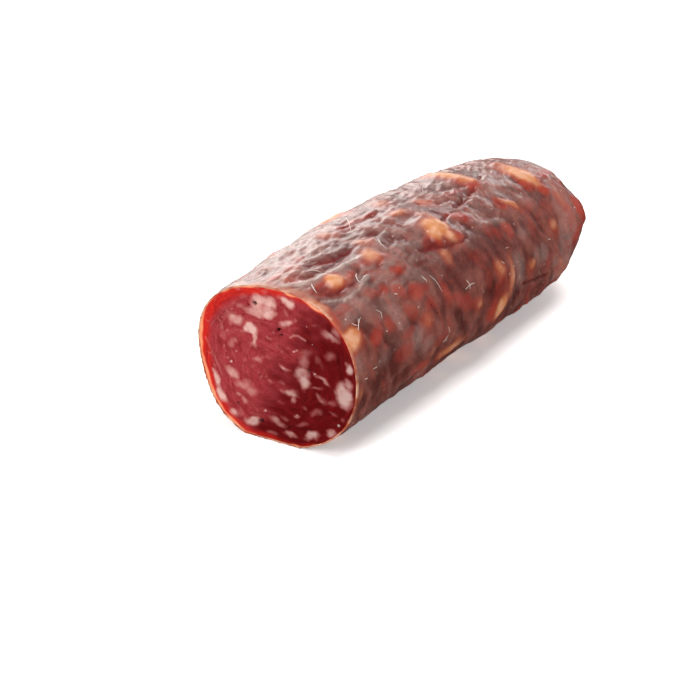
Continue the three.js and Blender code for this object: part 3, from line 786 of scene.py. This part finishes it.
def dried_gut():
    """Dried natural gut over meat: a thin glossy skin whose fine wrinkles break up its shine."""
    material = bpy.data.materials.new("dried gut")
    material.use_nodes = True
    tree = material.node_tree
    shader = tree.nodes["Principled BSDF"]
    place = add_node(tree, "ShaderNodeTexCoord").outputs["Object"]
    has = {
        name: add_node(tree, "ShaderNodeAttribute", attribute_name=name).outputs["Fac"]
        for name in ("fat", "core", "red", "dark", "crease_shade", "film_and_sheen", "edge", "tone", "flush", "stain",
                     "groove_shade")
    }
    mottle = add_node(
        tree, "ShaderNodeTexNoise", {"Vector": place, "Scale": blobs_per_metre(1.6), "Detail": 2.0},
    ).outputs["Fac"]
    thick = add_node(
        tree, "ShaderNodeTexNoise", {"Vector": place, "Scale": blobs_per_metre(3.0), "Detail": 2.0},
    ).outputs["Fac"]
    # Fine creases in the gut, under a millimetre apart and a little longer along the sausage.
    drawn_out = add_node(tree, "ShaderNodeMapping", {"Vector": place, "Scale": (1.0, 0.5, 1.0)}).outputs[0]
    crimp = add_node(
        tree, "ShaderNodeTexNoise",
        {"Vector": drawn_out, "Scale": blobs_per_metre(0.9), "Detail": 3.0, "Distortion": 0.6},
    ).outputs["Fac"]
    # Dust and crumbs of dried gut, a few tenths of a millimetre across and 3.4 mm apart.
    crumb = add_node(
        tree, "ShaderNodeTexVoronoi", {"Vector": place, "Scale": blobs_per_metre(3.4)},
    ).outputs["Distance"]
    # Each piece of fat is of uneven thickness.
    uneven = add_node(tree, "ShaderNodeMath", {0: thick, 1: -0.5}, operation="ADD").outputs[0]
    uneven = add_node(
        tree, "ShaderNodeMath", {0: uneven, 1: 0.9, 2: has["core"]}, operation="MULTIPLY_ADD",
    ).outputs[0]
    # How much there is of each, between two levels of what it follows.
    share = {
        name: add_node(
            tree, "ShaderNodeMapRange",
            {"Value": follows, "From Min": low, "From Max": high, "To Min": at_low, "To Max": at_high},
        ).outputs[0]
        for name, follows, low, high, at_low, at_high in [
            ("flush", has["flush"], 0.0, 1.0, 0.0, 0.45),
            ("shade", mottle, 0.45, 0.7, 0.0, 0.35),
            ("lean", has["red"], 0.0, 1.0, 0.0, 0.75),
            ("stain", has["stain"], 0.0, 1.0, 0.0, 0.85),
            ("fat", has["fat"], 0.05, 0.75, 0.0, 1.0),
            ("cream", uneven, 0.34, 1.0, 0.0, 1.0),
            ("waxen", thick, 0.4, 0.6, 0.0, 1.0),
            # Painted highlight: the pale film and the pale veins are lighter on the crimps' raised tops.
            ("crimp_highlight_gain", crimp, 0.38, 0.64, 0.8, 1.15),
            ("painted_crimp_highlights", crimp, 0.56, 0.7, 0.0, 0.07),
            ("dust", crumb, 0.03, 0.1, 0.6, 0.0),
            ("cut edge", has["edge"], 0.0, 1.0, 0.0, 0.8),
            ("roughness", mottle, 0.3, 0.7, 0.27, 0.37),
        ]
    }
    # Tones that run from one colour to another.
    tone = {
        name: add_node(
            tree, "ShaderNodeMix", {0: follows, 6: linear(start), 7: linear(end)}, data_type="RGBA",
        ).outputs[2]
        for name, follows, start, end in [
            ("gut", has["tone"], "#531a13", "#82483d"),
            ("lean", mottle, "#86120a", "#bc4028"),
            ("stain", mottle, "#6a0e08", "#b03c1c"),
            ("amber", has["core"], "#8a220e", "#b65620"),
            ("cream", share["waxen"], "#c48450", "#cc9474"),
            ("cut edge", share["waxen"], "#b5502c", "#dcae90"),
        ]
    }
    # Fat is amber where it thins out at its edges and cream in the middle.
    fat_colour = add_node(
        tree, "ShaderNodeMix", {0: share["cream"], 6: tone["amber"], 7: tone["cream"]}, data_type="RGBA",
    ).outputs[2]
    # Where the gut has come away from the meat, air under it makes it pale. The same share carries
    # the sheen painted on top and the highlights painted along the folds, and it is lightest on the
    # crimps' raised tops, which is painted highlight too.
    pale_film_and_sheen = add_node(
        tree, "ShaderNodeMath", {0: has["film_and_sheen"], 1: share["crimp_highlight_gain"]}, operation="MULTIPLY", use_clamp=True,
    ).outputs[0]
    # Each of these lies over the ones before it.
    colour = tone["gut"]
    for amount, over in [
        (share["flush"], linear("#96382a")),
        (share["shade"], linear("#501c15")),
        (share["lean"], tone["lean"]),
        (share["stain"], tone["stain"]),
        (share["fat"], fat_colour),
        (has["dark"], linear("#560f0a")),
        # Painted shade in the creases.
        (has["crease_shade"], linear("#620705")),
        # Painted shade in the hollows between the wrinkles on top.
        (has["groove_shade"], linear("#701a10")),
        (pale_film_and_sheen, linear("#c4b2a9")),
        (share["painted_crimp_highlights"], linear("#b08d82")),
        (share["dust"], linear("#d8c6bc")),
        (share["cut edge"], tone["cut edge"]),
    ]:
        colour = add_node(
            tree, "ShaderNodeMix", {0: amount, 6: colour, 7: over}, data_type="RGBA",
        ).outputs[2]
    tree.links.new(colour, shader.inputs["Base Color"])
    roughness = add_node(
        tree, "ShaderNodeMath", {0: has["fat"], 1: 0.12, 2: share["roughness"]}, operation="MULTIPLY_ADD",
    ).outputs[0]
    tree.links.new(roughness, shader.inputs["Roughness"])
    height = add_node(
        tree, "ShaderNodeMath", {0: mottle, 1: 0.6, 2: crimp}, operation="MULTIPLY_ADD",
    ).outputs[0]
    bump = add_node(
        tree, "ShaderNodeBump", {"Height": height, "Strength": 0.4, "Distance": 0.2 * MM},
    ).outputs["Normal"]
    tree.links.new(bump, shader.inputs["Normal"])
    shader.inputs["IOR"].default_value = 1.5
    shader.inputs["Specular IOR Level"].default_value = 0.42
    shader.inputs["Subsurface Weight"].default_value = 0.2
    shader.inputs["Subsurface Radius"].default_value = (1.0, 0.35, 0.2)
    shader.inputs["Subsurface Scale"].default_value = 1.0 * MM
    return material


casing.data.materials.append(dried_gut())
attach(casing, "root")
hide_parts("casing")

# ------------------------------------------------------------------------------------------
# Loose flakes
# The outermost film of the gut dries first and splits. Shreds of it, paper thin and nearly
# white, have curled up off the skin and hang on by one end.
# ------------------------------------------------------------------------------------------
# Each is a line of points (along, turn, lift off the skin) and the width at its middle.
FLAKES = [
    ([(4.8, 67.5, 0.05), (5.0, 70.5, 0.5), (5.6, 73, 0.8), (6.4, 74, 0.8)], 0.26),
    ([(18.2, 56.5, 0.05), (18.1, 59, 0.5), (18.8, 61.5, 0.8), (19.8, 62.5, 0.9)], 0.28),
    ([(19.0, 57.5, 0.05), (21.0, 58.0, 0.3), (22.4, 57.6, 0.1)], 0.16),
    ([(37.6, 68.0, 0.05), (37.2, 70.5, 0.4), (37.8, 73, 0.6), (38.6, 74, 0.4)], 0.26),
    ([(41.2, 96.5, 0.05), (42.8, 99.5, 0.9), (44.6, 103, 1.5), (46.4, 107, 1.7)], 0.2),
    ([(44.4, 102, 0.1), (45.4, 101, 0.5), (46.6, 101, 0.3)], 0.13),
    ([(11.2, 86, 0.05), (12.6, 84.5, 0.5), (13.8, 81, 0.5), (14.4, 79, 0.1)], 0.18),
    ([(6.0, 34, 0.05), (7.0, 36.5, 0.5), (7.6, 40, 0.7)], 0.2),
    ([(7.0, 36.5, 0.3), (8.2, 39, 0.6), (9.2, 39.5, 0.3)], 0.15),
    ([(5.2, 40, 0.05), (5.6, 37.5, 0.4), (7.0, 36.5, 0.4)], 0.14),
    ([(55.2, 16.8, 0.05), (57.0, 18.6, 0.4), (59.0, 18.2, 0.4), (60.8, 16.8, 0.1)], 0.16),
    ([(56.4, 22.5, 0.1), (57.0, 18.6, 0.5), (57.2, 15.5, 0.1)], 0.15),
    ([(42.2, 38, 0.05), (42.8, 34, 0.3), (43.6, 29.5, 0.3), (44.4, 24, 0.05)], 0.08),
    ([(39.3, 39.5, 0.05), (39.5, 36.5, 0.4), (39.7, 34.5, 0.1)], 0.16),
    ([(15.8, 38.5, 0.05), (16.8, 35.5, 0.4), (16.2, 31.5, 0.1)], 0.08),
    ([(44.6, 0.5, 0.05), (45.2, -3.0, 0.25), (46.0, -5.5, 0.05)], 0.14),
    ([(45.6, -6.5, 0.05), (44.2, -8.5, 0.25), (43.0, -10.0, 0.05)], 0.13),
    ([(76.4, 20, 0.05), (76.9, 18.5, 0.3), (77.2, 17.4, 0.05)], 0.12),
    ([(81.4, 13, 0.05), (82.2, 12.4, 0.2), (83.0, 12, 0.05)], 0.16),
    ([(25.2, 40, 0.05), (25.6, 39, 0.3), (26.2, 38.6, 0.1)], 0.22),
    ([(3.0, 4, 0.05), (3.8, 3.6, 0.2), (4.6, 3.4, 0.05)], 0.16),
    ([(7.0, 7.2, 0.05), (8.2, 6.8, 0.2), (9.2, 6.4, 0.05)], 0.12),
    ([(106.6, 15, 0.05), (107.1, 14.2, 0.3), (107.7, 13.6, 0.05)], 0.2),
    ([(81.0, 26, 0.05), (81.8, 25.8, 0.2), (82.6, 25.4, 0.05)], 0.12),
    ([(79.6, 96, 0.05), (80.8, 98.5, 0.5), (82.6, 100, 0.7)], 0.15),
    ([(30.0, 168, 0.05), (31.0, 171, 0.6), (32.8, 173, 0.8)], 0.2),
    ([(66.0, 152, 0.05), (67.6, 155, 0.5), (69.8, 156, 0.5)], 0.18),
    ([(88.0, 214, 0.05), (89.4, 211, 0.4), (91.0, 210, 0.1)], 0.18),
    ([(110.0, 178, 0.05), (111.4, 181, 0.6), (113.4, 182, 0.7)], 0.16),
]
FLAKE_HALF_THICK = 0.04
FLAKE_STEPS = 14
FLAKE_SMOOTHING = [0.1, 0.2, 0.4, 0.2, 0.1]   # shares of a place and its two neighbours each way

climbing = np.searchsorted(ring_along, BODY_LENGTH)   # the rings before the knot turns back


def on_skin(along, turn_degrees, lift):
    """The point this far above the finished skin."""
    ring = float(np.interp(along, ring_along[:climbing], np.arange(climbing)))
    column = (turn_degrees % 360) / 360 * SKIN_COLUMNS
    near, aside = int(ring), int(column)
    u, v = ring - near, column - aside
    beyond = (aside + 1) % SKIN_COLUMNS
    spot = np.zeros(6)
    for share, i, j in [((1 - u) * (1 - v), near, aside), (u * (1 - v), near + 1, aside),
                        ((1 - u) * v, near, beyond), (u * v, near + 1, beyond)]:
        spot += share * np.concatenate([skin_points[i, j], outward[i, j]])
    return Vector(spot[:3] + lift * spot[3:]), Vector(spot[3:])


def shred(line, width, points, faces):
    """Adds one closed ribbon along a line, narrowing to both ends."""
    line = np.array(line, float)
    places = np.linspace(0, len(line) - 1, FLAKE_STEPS)
    tracks = [np.interp(places, np.arange(len(line)), line[:, k]) for k in range(3)]
    smooth = [np.convolve(np.pad(track, 2, "edge"), FLAKE_SMOOTHING, "valid") for track in tracks]
    middle = [on_skin(*place) for place in zip(*smooth)]
    first = len(points)
    for i, (point, normal) in enumerate(middle):
        ahead = middle[min(i + 1, FLAKE_STEPS - 1)][0] - middle[max(i - 1, 0)][0]
        across = ahead.cross(normal).normalized()
        up = across.cross(ahead).normalized()
        half = 0.52 * width * (0.25 + 0.75 * math.sin(math.pi * (i + 0.5) / FLAKE_STEPS))
        for side, rise in ((-1, -1), (1, -1), (1, 1), (-1, 1)):
            points.append(tuple(point + across * side * half + up * rise * FLAKE_HALF_THICK))
    for i in range(FLAKE_STEPS - 1):
        faces += ring_faces(first + 4 * i, first + 4 * i + 4, 4)
    faces.append([first, first + 1, first + 2, first + 3])
    faces.append([first + 4 * FLAKE_STEPS - k for k in (1, 2, 3, 4)])


flake_points, flake_faces = [], []
for line, width in FLAKES:
    shred(line, width, flake_points, flake_faces)
flake_mesh = bpy.data.meshes.new("casing_flakes")
placed = (np.array(flake_points) + np.array([AXIS_X, 0, 0])) * MM + np.array([0, cad_low.y, 0])
flake_mesh.from_pydata(placed.tolist(), [], flake_faces)
flakes = bpy.data.objects.new("casing_flakes", flake_mesh)
bpy.context.scene.collection.objects.link(flakes)


def gut_film():
    """Dried gut film, split off the skin: matt, pale and thin enough to glow in the light."""
    material = bpy.data.materials.new("split gut film")
    material.use_nodes = True
    tree = material.node_tree
    shader = tree.nodes["Principled BSDF"]
    place = add_node(tree, "ShaderNodeTexCoord").outputs["Object"]
    cloud = add_node(
        tree, "ShaderNodeTexNoise", {"Vector": place, "Scale": blobs_per_metre(0.8), "Detail": 3.0},
    ).outputs["Fac"]
    colour = add_node(
        tree, "ShaderNodeMix", {0: cloud, 6: linear("#b79b8f"), 7: linear("#e6d8ce")},
        data_type="RGBA",
    ).outputs[2]
    tree.links.new(colour, shader.inputs["Base Color"])
    shader.inputs["Roughness"].default_value = 0.5
    shader.inputs["IOR"].default_value = 1.5
    shader.inputs["Subsurface Weight"].default_value = 0.3
    shader.inputs["Subsurface Radius"].default_value = (1.0, 0.7, 0.55)
    shader.inputs["Subsurface Scale"].default_value = 0.4 * MM
    return material


flake_mesh.materials.append(gut_film())
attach(flakes, "root")

# ------------------------------------------------------------------------------------------
# Table
# A plain table top of matt, near white laminate, which the sausage lies on. It is a lit panel,
# which thins the shadow.
# ------------------------------------------------------------------------------------------
TABLE_HALF = 3.0          # metres

top = bpy.data.meshes.new("table")
top.from_pydata(
    [(-TABLE_HALF, -TABLE_HALF, 0), (TABLE_HALF, -TABLE_HALF, 0),
     (TABLE_HALF, TABLE_HALF, 0), (-TABLE_HALF, TABLE_HALF, 0)],
    [], [[0, 1, 2, 3]],
)
table = bpy.data.objects.new("table", top)
bpy.context.scene.collection.objects.link(table)
# Matt laminate scatters light evenly and has hardly any shine.
laminate = bpy.data.materials.new("white matt laminate")
laminate.use_nodes = True
surface = laminate.node_tree.nodes["Principled BSDF"]
surface.inputs["Base Color"].default_value = linear("#f4f2f0")
surface.inputs["Roughness"].default_value = 0.8
surface.inputs["Specular IOR Level"].default_value = 0.2
surface.inputs["Emission Color"].default_value = linear("#ffffff")
surface.inputs["Emission Strength"].default_value = 0.35
top.materials.append(laminate)
# It isn't mirrored in the sausage, as when a dark card lies beside it.
table.visible_glossy = False

# ------------------------------------------------------------------------------------------
# Studio light
# One broad light low behind the sausage's left shoulder, which rakes over its wrinkles, a weak
# one beyond its far end, one overhead, one in front, and a plain white room with a dark floor.
# ------------------------------------------------------------------------------------------


def soft_light(name, azimuth, elevation, spread, strength, colour):
    """A far-off source this many degrees wide. Azimuth 0 is towards +Y and 90 towards +X."""
    a, e = math.radians(azimuth), math.radians(elevation)
    away = Vector((math.sin(a) * math.cos(e), math.cos(a) * math.cos(e), math.sin(e)))
    lamp = bpy.data.lights.new(name, "SUN")
    lamp.angle = math.radians(spread)
    lamp.energy = strength
    lamp.color = linear(colour)[:3]
    light = bpy.data.objects.new(name, lamp)
    light.rotation_euler = away.to_track_quat("Z", "Y").to_euler()
    bpy.context.scene.collection.objects.link(light)


soft_light("back_light", azimuth=-50, elevation=16, spread=40, strength=1.4, colour="#fff9f4")
soft_light("far_light", azimuth=-14, elevation=12, spread=22, strength=0.25, colour="#ffffff")
soft_light("top_light", azimuth=60, elevation=80, spread=32, strength=2.4, colour="#ffffff")
soft_light("front_light", azimuth=190, elevation=35, spread=45, strength=2.1, colour="#ffffff")

room = bpy.data.worlds.new("room")
room.use_nodes = True
walls = room.node_tree.nodes["Background"]
walls.inputs["Color"].default_value = linear("#ffffff")
direction = add_node(room.node_tree, "ShaderNodeTexCoord").outputs["Generated"]
upward = add_node(
    room.node_tree, "ShaderNodeSeparateXYZ", {"Vector": direction},
).outputs["Z"]
glow = add_node(
    room.node_tree, "ShaderNodeMapRange",
    {"Value": upward, "From Min": -0.25, "From Max": 0.15, "To Min": 0.06, "To Max": 0.3},
).outputs[0]
seen = add_node(room.node_tree, "ShaderNodeLightPath").outputs["Is Camera Ray"]
strength = add_node(
    room.node_tree, "ShaderNodeMath", {0: glow, 1: seen}, operation="MAXIMUM",
).outputs[0]
room.node_tree.links.new(strength, walls.inputs["Strength"])
bpy.context.scene.world = room
bpy.context.scene.view_settings.view_transform = "Standard"

# ------------------------------------------------------------------------------------------
# Camera
# It looks down along the sausage from the front right, from about 0.67 m with a long lens, and
# is aimed near the foot of the sausage's middle.
# ------------------------------------------------------------------------------------------
AZIMUTH = math.radians(32.1)
ELEVATION = math.radians(24.4)
DISTANCE = 0.665          # metres
AIM = Vector((-0.0120, -0.0179, 0.0026))

towards = Vector((
    math.sin(AZIMUTH) * math.cos(ELEVATION),
    -math.cos(AZIMUTH) * math.cos(ELEVATION),
    math.sin(ELEVATION),
))
optics = bpy.data.cameras.new("camera")
optics.lens = 119.7
optics.sensor_width = 36.0
camera = bpy.data.objects.new("camera", optics)
camera.location = AIM + towards * DISTANCE
camera.rotation_euler = towards.to_track_quat("Z", "Y").to_euler()
bpy.context.scene.collection.objects.link(camera)
bpy.context.scene.camera = camera
